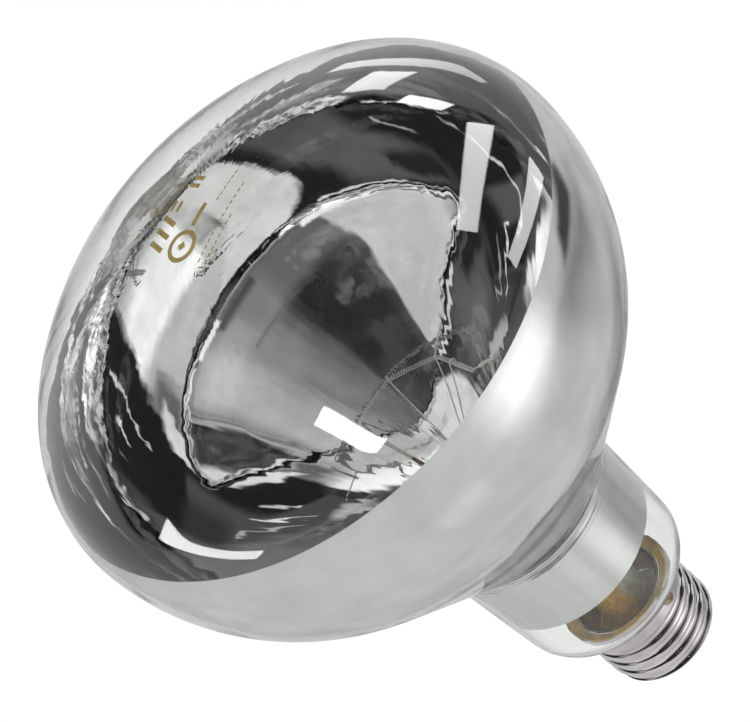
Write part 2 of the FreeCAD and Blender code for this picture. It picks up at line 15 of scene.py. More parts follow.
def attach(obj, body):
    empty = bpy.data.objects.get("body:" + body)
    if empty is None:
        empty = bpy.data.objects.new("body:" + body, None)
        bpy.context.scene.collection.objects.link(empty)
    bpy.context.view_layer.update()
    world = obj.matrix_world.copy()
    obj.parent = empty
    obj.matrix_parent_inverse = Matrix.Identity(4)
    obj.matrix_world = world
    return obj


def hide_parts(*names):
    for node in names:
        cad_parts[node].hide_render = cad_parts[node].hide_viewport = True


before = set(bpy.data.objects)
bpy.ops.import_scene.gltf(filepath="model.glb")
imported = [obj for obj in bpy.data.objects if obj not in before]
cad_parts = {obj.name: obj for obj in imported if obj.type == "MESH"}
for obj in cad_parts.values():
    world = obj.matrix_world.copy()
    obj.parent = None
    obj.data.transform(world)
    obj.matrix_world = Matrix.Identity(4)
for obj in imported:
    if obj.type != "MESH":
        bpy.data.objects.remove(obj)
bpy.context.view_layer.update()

LOG = logging.getLogger("heat_lamp")
MM = 0.001
Point = tuple[float, float]
Triple = tuple[float, float, float]
Colour = tuple[float, float, float]
Piece = bpy.types.Object
Material = bpy.types.Material
Tree = bpy.types.NodeTree
Node = bpy.types.Node
Socket = bpy.types.NodeSocket
Parts = tuple[Tree, "Graph", Node, Node]


class Wall(Enum):
    """A surface of the blown glass, by its depth under the outer one in mm."""

    OUTER = 0.0
    INNER = 1.1


# Modelling helpers

def deselect() -> None:
    """Leave nothing selected before an operator acts."""
    bpy.ops.object.select_all(action="DESELECT")


def activate(obj: Piece) -> None:
    """Make an object the only selected and active one."""
    deselect()
    obj.select_set(True)
    bpy.context.view_layer.objects.active = obj


def edit_all() -> None:
    """Open the active mesh for editing, with all of it selected."""
    bpy.ops.object.mode_set(mode="EDIT")
    bpy.ops.mesh.select_all(action="SELECT")


def apply_place(obj: Piece) -> None:
    """Move an object's place, turn and scale into its mesh."""
    activate(obj)
    bpy.ops.object.transform_apply(location=True, rotation=True, scale=True)


def apply_modifier(obj: Piece, name: str, kind: str, **settings: object) -> None:
    """Add a modifier with its settings and apply it."""
    activate(obj)
    modifier = obj.modifiers.new(name, kind)
    for setting, value in settings.items():
        setattr(modifier, setting, value)
    bpy.ops.object.modifier_apply(modifier=modifier.name)


def polar(centre: Point, radius: float, angle: float) -> Point:
    """Give the point at an angle on a circle in the half plane of radius and height."""
    return centre[0] + radius * cos(angle), centre[1] + radius * sin(angle)


def arc(centre: Point, radius: float, start: float, end: float, step: float) -> list[Point]:
    """Sample an arc in the half plane.

    Args:
        centre: Radius and height of its centre.
        radius: Its radius.
        start: Angle where it starts.
        end: Angle where it ends.
        step: Longest run between two points.

    Returns:
        Points from start to end, both included.
    """
    count = max(3, int(abs(end - start) * radius / step) + 1)
    return [polar(centre, radius, start + (end - start) * i / count) for i in range(count + 1)]


def run_to(points: list[Point], end: Point, step: float) -> None:
    """Add points on a straight run from the last point to an end, the end left out.

    Args:
        points: Outline so far, which gets the new points.
        end: Where the run ends.
        step: Longest run between two points.
    """
    x, z = points[-1]
    count = int(hypot(end[0] - x, end[1] - z) / step) + 1
    points.extend((x + (end[0] - x) * i / count, z + (end[1] - z) * i / count) for i in range(1, count))


def spun(name: str, outline: list[Point], steps: int) -> Piece:
    """Extrude an outline from one vertex and spin it round the lamp's axis.

    Args:
        name: Name of the new piece.
        outline: Radius and height of each point, in mm.
        steps: Segments round the axis.

    Returns:
        The new piece, with its doubles merged.
    """
    deselect()
    bpy.ops.mesh.primitive_plane_add(size=MM, location=(0, 0, 0))
    obj = bpy.context.object
    obj.name = obj.data.name = name
    edit_all()
    bpy.ops.mesh.merge(type="CENTER")
    bpy.ops.transform.translate(value=(outline[0][0] * MM, 0, outline[0][1] * MM))
    x, z = outline[0]
    for radius, height in outline[1:]:
        move = ((radius - x) * MM, 0, (height - z) * MM)
        bpy.ops.mesh.extrude_region_move(TRANSFORM_OT_translate={"value": move})
        x, z = radius, height
    bpy.ops.mesh.select_all(action="SELECT")
    bpy.ops.mesh.spin(steps=steps, angle=tau, center=(0, 0, 0), axis=(0, 0, 1))
    bpy.ops.mesh.select_all(action="SELECT")
    bpy.ops.mesh.remove_doubles(threshold=2e-6)
    bpy.ops.mesh.normals_make_consistent(inside=False)
    bpy.ops.object.mode_set(mode="OBJECT")
    return obj


def displace(obj: Piece, weights: list[float], strength: float) -> None:
    """Push vertices along their normals by a strength in metres times each one's weight, 0 to 1."""
    group = obj.vertex_groups.new(name="ripple")
    for index, weight in enumerate(weights):
        group.add([index], weight, "REPLACE")
    apply_modifier(obj, "Ripple", "DISPLACE", vertex_group=group.name, mid_level=0.0, strength=strength)
    obj.vertex_groups.remove(obj.vertex_groups[0])


def settle(obj: Piece, slot: str = "", *nodes: str) -> None:
    """Let a piece ride on the lamp and stand for nodes; the slot is not used."""
    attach(obj, "root")
    if nodes:
        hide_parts(*nodes)
    LOG.info("%s: %d faces", obj.name, len(obj.data.polygons))


# Glass envelope and mirror

@dataclass
class Envelope:
    """Blown reflector envelope with its inside mirror, sizes in mm."""

    tail_radius: float = 10.6
    tail_fillet: float = 1.3
    seal_height: float = 17.5
    shoulder_floor: float = 27.35
    neck_radius: float = 20.4
    neck_flare: float = radians(2.4)
    throat_fillet: float = 6.0
    half_angle: float = radians(39.4)
    reflector_arc: float = 52.0
    face_radius: float = 62.5
    face_height: float = 135.5
    knuckle_radius: float = 20.8
    crown_radius: float = 81.6
    mirror_edge: float = 47.0
    mirror_past_face: float = 8.1
    film_gap: float = 0.03
    film_thickness: float = 0.06
    ripple_depth: float = 0.10
    step: float = 1.25
    glass_steps: int = 256
    film_steps: int = 512
    broad_length: float = 15.0
    middle_length: float = 22.0
    streak_length: float = 13.0
    middle_turns: float = 7.0
    streak_turns: float = 19.0
    wave_shares: Triple = (0.62, 0.26, 0.12)
    calm_radius: float = 45.0
    crease_angle: float = radians(40)
    march_steps: int = 200

    def throat_centre(self) -> Point:
        """Work out the centre of the fillet between neck and cone, outside both."""
        flare, half = self.neck_flare, self.half_angle
        shoulder = self.shoulder_centre()
        centre = (self.face_radius - self.reflector_arc, self.face_height)
        neck_line = shoulder[0] * cos(flare) - shoulder[1] * sin(flare)
        neck_line += self.shoulder_round() + self.throat_fillet
        cone_line = centre[0] * cos(half) - centre[1] * sin(half)
        cone_line += self.reflector_arc + self.throat_fillet
        spread = sin(half - flare)
        radius = (neck_line * sin(half) - cone_line * sin(flare)) / spread
        height = (neck_line * cos(half) - cone_line * cos(flare)) / spread
        return radius, height

    def shoulder_round(self) -> float:
        """Give the radius of the shoulder between tail and neck."""
        return self.neck_radius - self.tail_radius - self.tail_fillet

    def shoulder_centre(self) -> Point:
        """Give the centre of the shoulder's arc."""
        return self.tail_radius + self.tail_fillet, self.shoulder_floor + self.shoulder_round()

    def crown_drop(self) -> float:
        """Give how far the crown's centre lies below the widest ring."""
        ring = self.face_radius - self.knuckle_radius
        return sqrt((self.crown_radius - self.knuckle_radius) ** 2 - ring ** 2)

    def lower_outline(self, depth: float) -> list[Point]:
        """Trace the tail and shoulder at a depth under the outer surface."""
        fillet_centre = (self.tail_radius + self.tail_fillet, self.shoulder_floor - self.tail_fillet)
        points = [(self.tail_radius - depth, self.seal_height)]
        curve = arc(fillet_centre, self.tail_fillet + depth, pi, pi / 2, self.step / 3)
        run_to(points, curve[0], self.step)
        points += curve
        points += arc(self.shoulder_centre(), self.shoulder_round() - depth, -pi / 2, -self.neck_flare,
                      self.step / 2)[1:]
        return points

    def reflector_outline(self, depth: float, start: Point) -> list[Point]:
        """Trace neck, throat, cone and reflector curve from a start point to the widest ring."""
        throat = arc(self.throat_centre(), self.throat_fillet + depth, pi - self.neck_flare,
                     pi - self.half_angle, self.step / 2)
        centre = (self.face_radius - self.reflector_arc, self.face_height)
        curve = arc(centre, self.reflector_arc - depth, -self.half_angle, 0, self.step)
        points = [start]
        run_to(points, throat[0], self.step)
        points += throat
        run_to(points, curve[0], self.step)
        return points + curve

    def front_outline(self, depth: float) -> list[Point]:
        """Trace the knuckle and the crown from the widest ring to the apex."""
        centre = (self.face_radius - self.knuckle_radius, self.face_height)
        drop = self.crown_drop()
        end = atan2(drop, centre[0])
        points = arc(centre, self.knuckle_radius - depth, 0, end, self.step)
        crown = (0.0, self.face_height - drop)
        points += arc(crown, self.crown_radius - depth, end, pi / 2, self.step)[1:]
        points[-1] = (0.0, points[-1][1])
        return points

    def surface_outline(self, wall: Wall) -> list[Point]:
        """Trace one whole surface of the glass from the tail to the apex."""
        depth = wall.value
        lower = self.lower_outline(depth)
        return lower[:-1] + self.reflector_outline(depth, lower[-1]) + self.front_outline(depth)[1:]

    def film_outline(self) -> list[Point]:
        """Trace the film's outer face from its neck edge to its front edge."""
        depth = Wall.INNER.value + self.film_gap
        shoulder = polar(self.shoulder_centre(), self.shoulder_round() - depth, -self.neck_flare)
        rise = (self.mirror_edge - self.shoulder_centre()[1]) / cos(self.neck_flare)
        start = (shoulder[0] + rise * sin(self.neck_flare), shoulder[1] + rise * cos(self.neck_flare))
        centre = (self.face_radius - self.knuckle_radius, self.face_height)
        end = asin(self.mirror_past_face / self.knuckle_radius)
        front = arc(centre, self.knuckle_radius - depth, 0, end, self.step)
        return self.reflector_outline(depth, start) + front[1:]

    def reflect(self, eye: Vector, ray: Vector) -> Vector:
        """Follow a ray from a place in mm to the smooth face and give the way it is reflected in."""
        ring, drop = self.face_radius - self.knuckle_radius, self.crown_drop()
        place = eye.copy()
        for _ in range(self.march_steps):
            radius, rise = hypot(place.x, place.y), place.z - self.face_height
            centre, size = Vector((0, 0, self.face_height - drop)), self.crown_radius
            if radius > ring and atan2(rise, radius - ring) < atan2(drop, ring):
                way = Vector((place.x, place.y, 0)) * (ring / radius)
                centre, size = way + Vector((0, 0, self.face_height)), self.knuckle_radius
            normal = (place - centre).normalized()
            place += ray * ((place - centre).length - size)
        return ray - 2 * ray.dot(normal) * normal

    def ripple(self, point: Vector) -> float:
        """Give the waviness that blowing leaves at a point in metres, from 0 to 1."""
        radius = hypot(point.x, point.y)
        if radius < 1e-6:
            return 0.5
        around = Vector((point.x / radius, point.y / radius, 0))
        broad = noise.noise(point / (self.broad_length * MM))
        middle_climb = Vector((0, 0, point.z / (self.middle_length * MM)))
        streak_climb = Vector((0, 0, point.z / (self.streak_length * MM)))
        middle = noise.noise(around * self.middle_turns + middle_climb)
        streak = noise.noise(around * self.streak_turns + streak_climb)
        fade = min(1.0, radius / (self.calm_radius * MM))
        shares = self.wave_shares
        return 0.5 + 0.5 * (shares[0] * broad + fade * (shares[1] * middle + shares[2] * streak))

    def glass(self) -> Piece:
        """Model the closed wall of the envelope with its two rippled surfaces."""
        outer = self.surface_outline(Wall.OUTER)
        inner = self.surface_outline(Wall.INNER)
        obj = spun("envelope_glass", outer[::-1] + inner, self.glass_steps)
        displace(obj, [self.ripple(v.co) for v in obj.data.vertices], -self.ripple_depth * MM)
        activate(obj)
        bpy.ops.object.shade_smooth()
        settle(obj, "envelope_glass", "glass_envelope")
        return obj

    def film(self) -> Piece:
        """Model the aluminium film that lies on the inner surface."""
        obj = spun("mirror_film", self.film_outline(), self.film_steps)
        activate(obj)
        edit_all()
        bpy.ops.mesh.normals_make_consistent(inside=False)
        bpy.ops.object.mode_set(mode="OBJECT")
        displace(obj, [self.ripple(v.co) for v in obj.data.vertices], self.ripple_depth * MM)
        apply_modifier(obj, "Film", "SOLIDIFY", thickness=self.film_thickness * MM, offset=-1)
        bpy.ops.object.shade_smooth_by_angle(angle=self.crease_angle)
        for face in obj.data.polygons:
            outward = face.normal.x * face.center.x + face.normal.y * face.center.y
            face.material_index = int(outward > 0)
        settle(obj, "mirror_film", "mirror_coating")
        return obj


@dataclass
class CementBed:
    """Lumpy bed of cement in the bottom of the cap, under the glass tail, sizes in mm."""

    floor: float = 10.9
    outline: tuple[Point, ...] = (
        (0.0, 14.3), (3.0, 14.5), (6.0, 15.1), (8.4, 15.9), (9.8, 16.2), (10.4, 15.6))
    top_step: float = 0.5
    under_step: float = 0.8
    lump: float = 0.9
    coarse_length: float = 2.6
    fine_length: float = 0.9
    coarse_share: float = 0.55
    fine_share: float = 0.2
    steps: int = 96

    def build(self) -> Piece:
        """Spin the bed and push it into lumps."""
        points = [self.outline[0]]
        for corner in self.outline[1:]:
            run_to(points, corner, self.top_step)
            points.append(corner)
        rim = self.outline[-1][0]
        for corner in ((rim, self.floor), (0.0, self.floor)):
            run_to(points, corner, self.under_step)
            points.append(corner)
        obj = spun("cement_bed", points[::-1], self.steps)
        lumps = [self.height(vertex.co) for vertex in obj.data.vertices]
        displace(obj, lumps, -self.lump * MM)
        activate(obj)
        bpy.ops.object.shade_smooth()
        settle(obj, "cement")
        return obj

    def height(self, point: Vector) -> float:
        """Give the depth of the lumps at a point, from 0 to 1."""
        coarse = noise.noise(point / (self.coarse_length * MM))
        fine = noise.noise(point / (self.fine_length * MM))
        return min(1.0, max(0.0, 0.5 + self.coarse_share * coarse + self.fine_share * fine))


@dataclass
class Stamp:
    """Plain ink marks printed on the crown: bars, a ring and dashed lines, sizes in mm.

    A bar is its place, width, height and turn in degrees; a row of dashes is its place, gap and count.
    """

    centre: Point = (0.6, 2.2)
    turn: float = radians(19.5)
    lift: float = 0.004
    ink: float = 0.008
    fine: float = 0.3
    drop_from: float = 200.0
    ring_points: int = 72
    bars: tuple[tuple[float, float, float, float, float], ...] = (
        (-7.4, 6.0, 1.1, 4.6, -18.0), (-4.6, 6.0, 1.1, 4.6, -18.0), (-1.8, 6.0, 1.1, 4.6, -18.0),
        (1.6, 7.4, 2.4, 0.9, 0.0), (1.6, 5.6, 2.4, 0.9, 0.0),
        (6.6, 5.0, 1.0, 3.0, 0.0), (8.4, 5.0, 1.0, 3.0, 0.0),
        (0.6, -1.2, 5.2, 1.1, 0.0), (-6.4, -1.2, 1.4, 1.4, 45.0))
    ring: tuple[float, float, float, float] = (-6.4, -1.2, 2.5, 3.5)
    dashes: tuple[tuple[float, float, float, int], ...] = (
        (-8.4, -7.4, 0.62, 13), (-8.4, -9.2, 0.62, 8), (4.6, -3.6, 0.5, 6))
    dash: Point = (0.8, 0.34)

    def bar(self, x: float, y: float, wide: float, high: float, turn: float) -> Piece:
        """Lay one bar, centred on a place, with its sides cut fine enough to bend."""
        deselect()
        place, rotation = (x * MM, y * MM, 0), (0, 0, radians(turn))
        bpy.ops.mesh.primitive_plane_add(size=MM, location=place, rotation=rotation)
        obj = bpy.context.object
        obj.scale = (wide, high, 1)
        apply_place(obj)
        edit_all()
        cuts = max(1, int(max(wide, high) / self.fine / 2))
        bpy.ops.mesh.subdivide(number_cuts=cuts)
        bpy.ops.object.mode_set(mode="OBJECT")
        return obj

    def circle(self) -> Piece:
        """Lay the ring: a circle whose edge is extruded in towards its middle."""
        x, y, inner, outer = self.ring
        deselect()
        place = (x * MM, y * MM, 0)
        bpy.ops.mesh.primitive_circle_add(vertices=self.ring_points, radius=outer * MM, location=place)
        obj = bpy.context.object
        apply_place(obj)
        edit_all()
        bpy.ops.mesh.extrude_region()
        share = inner / outer
        bpy.ops.transform.resize(value=(share, share, 1), center_override=place)
        bpy.ops.object.mode_set(mode="OBJECT")
        return obj

    def build(self, glass: Piece) -> Piece:
        """Print every mark on the crown of the glass, as one thin piece."""
        marks = [self.bar(*bar) for bar in self.bars] + [self.circle()]
        for x, y, gap, count in self.dashes:
            marks += [self.bar(x + i * (self.dash[0] + gap), y, *self.dash, 0.0) for i in range(count)]
        activate(marks[0])
        for mark in marks:
            mark.select_set(True)
        bpy.ops.object.join()
        obj = bpy.context.object
        obj.name = obj.data.name = "crown_marks"
        obj.rotation_euler = (0, 0, self.turn)
        obj.location = (self.centre[0] * MM, self.centre[1] * MM, self.drop_from * MM)
        apply_place(obj)
        apply_modifier(
            obj, "Press", "SHRINKWRAP", target=glass, wrap_method="PROJECT", use_project_z=True,
            use_negative_direction=True, use_positive_direction=False, offset=self.lift * MM)
        edit_all()
        bpy.ops.mesh.normals_make_consistent(inside=False)
        bpy.ops.object.mode_set(mode="OBJECT")
        if obj.data.polygons[0].normal.z < 0:
            obj.data.flip_normals()
        apply_modifier(obj, "Ink", "SOLIDIFY", thickness=self.ink * MM, offset=1)
        settle(obj)
        return obj


# Node helpers

class Graph:
    """A node tree with short ways to add and join nodes."""

    def __init__(self, tree: Tree) -> None:
        """Wrap a node tree."""
        self.tree = tree

    def add(self, kind: str, inputs: dict | None = None, **settings: object) -> Node:
        """Add a node.

        Args:
            kind: Its type, without the words ShaderNode in front.
            inputs: Value or socket for each input, by name or number.
            settings: Its other properties.

        Returns:
            The new node.
        """
        node = self.tree.nodes.new("ShaderNode" + kind)
        for name, value in settings.items():
            setattr(node, name, value)
        for name, value in (inputs or {}).items():
            self.feed(node.inputs[name], value)
        return node

    def feed(self, socket: Socket, value: object) -> None:
        """Join a socket to an input, or set the input's own value."""
        if isinstance(value, Socket):
            self.tree.links.new(value, socket)
        else:
            socket.default_value = value

    def math(self, operation: str, *values: object, clamp: bool = False) -> Socket:
        """Add a Math node and give its result."""
        node = self.add("Math", dict(enumerate(values)), operation=operation, use_clamp=clamp)
        return node.outputs[0]

    def vector(self, operation: str, *values: object) -> Node:
        """Add a Vector Math node."""
        return self.add("VectorMath", dict(enumerate(values)), operation=operation)

    def product(self, first: object, *others: object) -> object:
        """Multiply values together."""
        for other in others:
            first = self.math("MULTIPLY", first, other)
        return first

    def reaches(self, depth: Socket, count: int) -> Socket:
        """Tell whether a ray's depth of a kind has come to a count."""
        return self.math("GREATER_THAN", depth, count - 0.5)

    def noise(self, where: object, scale: object, detail: float = 2.0,
              roughness: float = 0.5) -> Socket:
        """Add smooth noise at a place."""
        inputs = {"Vector": where, "Scale": scale, "Detail": detail, "Roughness": roughness}
        return self.add("TexNoise", inputs).outputs["Fac"]

    def ramp(self, value: object, low: object, high: object, first: float = 0.0,
             last: float = 1.0) -> Socket:
        """Turn a range of a value smoothly into another range."""
        inputs = {"Value": value, "From Min": low, "From Max": high, "To Min": first, "To Max": last}
        return self.add("MapRange", inputs, interpolation_type="SMOOTHSTEP").outputs["Result"]

    def blend(self, share: object, first: object, second: object) -> Socket:
        """Mix two values by a share."""
        inputs = {"Factor": share, "A": first, "B": second}
        return self.add("Mix", inputs, data_type="FLOAT").outputs["Result"]

    def mix(self, share: object, first: Colour, second: Colour) -> Socket:
        """Mix two colours by a share."""
        node = self.add("Mix", {"Factor": share}, data_type="RGBA")
        for name, colour in (("A", first), ("B", second)):
            plain = not isinstance(colour, Socket)
            self.feed(node.inputs[name], (*colour, 1.0) if plain else colour)
        return node.outputs["Result"]


def new_group(name: str, inputs: dict[str, float], outputs: list[str]) -> Parts:
    """Start a shader node group with named float inputs and outputs.

    Args:
        name: Its name.
        inputs: Starting value of each input.
        outputs: Names of its outputs.

    Returns:
        The group, its graph, its input node and its output node.
    """
    group = bpy.data.node_groups.new(name, "ShaderNodeTree")
    for label, value in inputs.items():
        socket = group.interface.new_socket(label, in_out="INPUT", socket_type="NodeSocketFloat")
        socket.default_value = value
    for label in outputs:
        group.interface.new_socket(label, in_out="OUTPUT", socket_type="NodeSocketFloat")
    entry, leave = group.nodes.new("NodeGroupInput"), group.nodes.new("NodeGroupOutput")
    return group, Graph(group), entry, leave


@dataclass(frozen=True)
class BlownWaves:
    """Waves that blowing leaves in glass, with heights and radii in metres."""

    streak_climb: float = 110.0
    ring_turns: float = 2.6
    ring_climb: float = 120.0
    fine_turns: float = 1.6
    fine_climb: float = 1300.0
    outer_band: Point = (0.044, 0.055)
    face_band: Point = (0.108, 0.134)
    throat_start: Point = (0.0628, 0.0645)
    throat_end: Point = (0.068, 0.072)
    calm: float = 0.08
    painted_line_band: Point = (0.49, 0.60)

    def spread(self, graph: Graph, around: object, rise: object, turns: object,
               climb: float) -> Socket:
        """Give a place for noise that runs round the axis and along it, each at its own rate."""
        wide = graph.add("VectorMath", {0: around, "Scale": turns}, operation="SCALE").outputs[0]
        high = graph.add("CombineXYZ", {"X": 0.0, "Y": 0.0, "Z": graph.product(rise, climb)}).outputs[0]
        return graph.vector("ADD", wide, high).outputs[0]

    def build(self) -> Tree:
        """Build the group: the height of every wave, the mask of the throat and the mask of the dark lines
        painted there as reflections of its ripples.
        """
        starts = {"Streaks": 60.0, "Lumps": 90.0, "Streak Share": 0.6, "Rings": 0.0, "Throat Rings": 0.0}
        group, graph, entry, leave = new_group("blown_waves", starts, ["Height", "Throat", "Painted Lines"])
        get = entry.outputs
        place = graph.add("TexCoord").outputs["Object"]
        axes = graph.add("SeparateXYZ", {0: place}).outputs
        rise = axes["Z"]
        flat = graph.add("CombineXYZ", {"X": axes["X"], "Y": axes["Y"], "Z": 0.0}).outputs[0]
        around = graph.vector("NORMALIZE", flat).outputs[0]
        streak_place = self.spread(graph, around, rise, get["Streaks"], self.streak_climb)
        streak = graph.noise(streak_place, 1.0, 0.6, 0.45)
        lump = graph.noise(place, get["Lumps"], 1.0)
        wavy = graph.blend(get["Streak Share"], lump, streak)
        ring = graph.noise(self.spread(graph, around, rise, self.ring_turns, self.ring_climb), 1.0, 0.3)
        fine = graph.noise(self.spread(graph, around, rise, self.fine_turns, self.fine_climb), 1.0, 1.5)
        outer = graph.ramp(graph.vector("LENGTH", flat).outputs["Value"], *self.outer_band)
        near_face = graph.product(graph.ramp(rise, *self.face_band), outer)
        below = graph.ramp(rise, *self.throat_end, 1.0, 0.0)
        throat = graph.product(graph.ramp(rise, *self.throat_start), below)
        rings = graph.product(near_face, get["Rings"], ring)
        throat_rings = graph.product(throat, get["Throat Rings"], fine)
        calmed = graph.product(wavy, graph.ramp(near_face, 0.0, 1.0, 1.0, self.calm))
        height = graph.math("ADD", calmed, graph.math("ADD", rings, throat_rings))
        graph.feed(leave.inputs["Height"], height)
        graph.feed(leave.inputs["Throat"], throat)
        # Mask of the dark lines that are painted into the film's throat, standing in for dark reflections in
        # its ripples.
        graph.feed(leave.inputs["Painted Lines"], graph.product(throat, graph.ramp(fine, *self.painted_line_band)))
        return group


@dataclass(frozen=True)
class Scratches:
    """Thin crossing scratches and small specks."""

    turns: tuple[Triple, ...] = ((0.3, 0.9, 0.2), (1.4, 0.2, 2.1))
    stretch: Triple = (1.0, 0.06, 0.35)
    bend_scale: float = 40.0
    bend: float = 0.02
    patch_scale: float = 55.0
    patch_band: Point = (0.5, 0.62)
    speck_band: Point = (0.07, 0.11)

    def build(self) -> Tree:
        """Build the group, with a mask of the scratches and one of the specks."""
        starts = {"Scale": 400.0, "Width": 0.012, "Specks": 900.0}
        group, graph, entry, leave = new_group("scratches_and_specks", starts, ["Scratches", "Specks"])
        get = entry.outputs
        place = graph.add("TexCoord").outputs["Object"]
        bent = graph.add("TexNoise", {"Vector": place, "Scale": self.bend_scale, "Detail": 1.0})
        colour = bent.outputs["Color"]
        offset = graph.add("VectorMath", {0: colour, "Scale": self.bend}, operation="SCALE").outputs[0]
        moved = graph.vector("ADD", place, offset).outputs[0]
        marks = []
        for turn in self.turns:
            mapped = graph.add("Mapping", {"Vector": moved, "Rotation": turn, "Scale": self.stretch})
            ridge = graph.math("SUBTRACT", graph.noise(mapped.outputs[0], get["Scale"], 0.0), 0.5)
            ends = {"From Min": 0.0, "From Max": get["Width"], "To Min": 1.0, "To Max": 0.0}
            mark = graph.add("MapRange", {"Value": graph.math("ABSOLUTE", ridge), **ends})
            marks.append(mark.outputs["Result"])
        patch = graph.ramp(graph.noise(place, self.patch_scale), *self.patch_band)
        graph.feed(leave.inputs["Scratches"], graph.product(graph.math("MAXIMUM", *marks), patch))
        cells = graph.add("TexVoronoi", {"Vector": place, "Scale": get["Specks"]}).outputs["Distance"]
        graph.feed(leave.inputs["Specks"], graph.ramp(cells, *self.speck_band, 1.0, 0.0))
        return group


@dataclass(frozen=True)
class Mottle:
    """Soft patches and fine grain, for tarnish, wear and clay."""

    patch_detail: float = 4.0
    patch_band: Point = (0.38, 0.66)

    def build(self) -> Tree:
        """Build the group, with its patches from 0 to 1 and its grain."""
        starts = {"Scale": 120.0, "Grain": 1500.0}
        group, graph, entry, leave = new_group("mottle", starts, ["Patches", "Grain"])
        place = graph.add("TexCoord").outputs["Object"]
        patches = graph.noise(place, entry.outputs["Scale"], self.patch_detail)
        graph.feed(leave.inputs["Patches"], graph.ramp(patches, *self.patch_band))
        graph.feed(leave.inputs["Grain"], graph.noise(place, entry.outputs["Grain"]))
        return group


class Effects:
    """The node groups that several finishes share, built once."""

    def __init__(self) -> None:
        """Build every group."""
        self.flow = BlownWaves().build()
        self.scratch = Scratches().build()
        self.mottle = Mottle().build()


@dataclass(frozen=True)
class Finish:
    """What every finish has: a name and a way to start its material."""

    name: str

    def start(self) -> tuple[Material, Graph, Node]:
        """Make the material and give its graph and its shader."""
        material = bpy.data.materials.new(self.name)
        material.use_nodes = True
        graph = Graph(material.node_tree)
        return material, graph, material.node_tree.nodes["Principled BSDF"]

    def group(self, graph: Graph, tree: Tree, **inputs: float) -> Node:
        """Place a shared group with its own values; an underscore in a name stands for a space."""
        node = graph.tree.nodes.new("ShaderNodeGroup")
        node.node_tree = tree
        for label, value in inputs.items():
            graph.feed(node.inputs[label.replace("_", " ")], value)
        return node

    def bump(self, graph: Graph, shader: Node, height: Socket, depth: float) -> None:
        """Let a height shade the surface, at a depth in metres."""
        node = graph.add("Bump", {"Strength": 1.0, "Distance": depth, "Height": height})
        graph.feed(shader.inputs["Normal"], node.outputs["Normal"])


@dataclass(frozen=True)
class GlassFinish(Finish):
    """Clear blown glass with soft waves."""

    clear: Colour = (0.965, 0.972, 0.966)
    dense: Colour = (0.925, 0.938, 0.928)
    ior: float = 1.48
    roughness: float = 0.0
    wave_depth: float = 1.0e-5
    rings: float = 2.5

    def build(self, effects: Effects) -> Material:
        """Make the material."""
        material, graph, shader = self.start()
        shader.inputs["Transmission Weight"].default_value = 1.0
        shader.inputs["IOR"].default_value = self.ior
        shader.inputs["Roughness"].default_value = self.roughness
        waves = self.group(graph, effects.flow, Streaks=26.0, Lumps=70.0, Streak_Share=0.5, Rings=self.rings)
        patches = self.group(graph, effects.mottle, Scale=35.0, Grain=600.0)
        graph.feed(shader.inputs["Base Color"], graph.mix(patches.outputs["Patches"], self.clear, self.dense))
        self.bump(graph, shader, waves.outputs["Height"], self.wave_depth)
        return material


@dataclass(frozen=True)
class StemFinish(Finish):
    """Crumpled stem glass that can be looked through; one side low down is painted orange, a painted view of
    lit cement seen through it.
    """

    light: Colour = (0.95, 0.95, 0.78)
    dark: Colour = (0.42, 0.42, 0.32)
    # The orange colour on the low side is painted light: it stands in for lit cement seen through the glass.
    painted_cement_view: Colour = (0.98, 0.60, 0.09)
    painted_cement_side: Point = (0.005, 0.008)
    painted_cement_top: Point = (0.034, 0.046)
    painted_cement_wander: float = 0.012
    clearness: Point = (0.30, 0.62)
    crumple: float = 9e-4

    def build(self, effects: Effects) -> Material:
        """Make the material."""
        material, graph, shader = self.start()
        patches = self.group(graph, effects.mottle, Scale=260.0, Grain=420.0)
        place = graph.add("TexCoord").outputs["Object"]
        axes = graph.add("SeparateXYZ", {0: place}).outputs
        # Painted light: orange mixed in on the low side, as lit cement seen through the stem.
        wander = graph.product(graph.noise(place, 160.0), self.painted_cement_wander)
        side = graph.ramp(graph.math("ADD", axes["X"], wander), *self.painted_cement_side, 1.0, 0.0)
        share = graph.product(side, graph.ramp(axes["Z"], *self.painted_cement_top, 1.0, 0.0))
        spots = patches.outputs["Patches"]
        grey = graph.mix(spots, self.light, self.dark)
        graph.feed(shader.inputs["Base Color"], graph.mix(share, grey, self.painted_cement_view))
        graph.feed(shader.inputs["Alpha"], graph.ramp(spots, 0.0, 1.0, *self.clearness))
        shader.inputs["Roughness"].default_value = 0.06
        shader.inputs["Coat Weight"].default_value = 1.0
        shader.inputs["Coat Roughness"].default_value = 0.02
        self.bump(graph, shader, patches.outputs["Grain"], self.crumple)
        return material


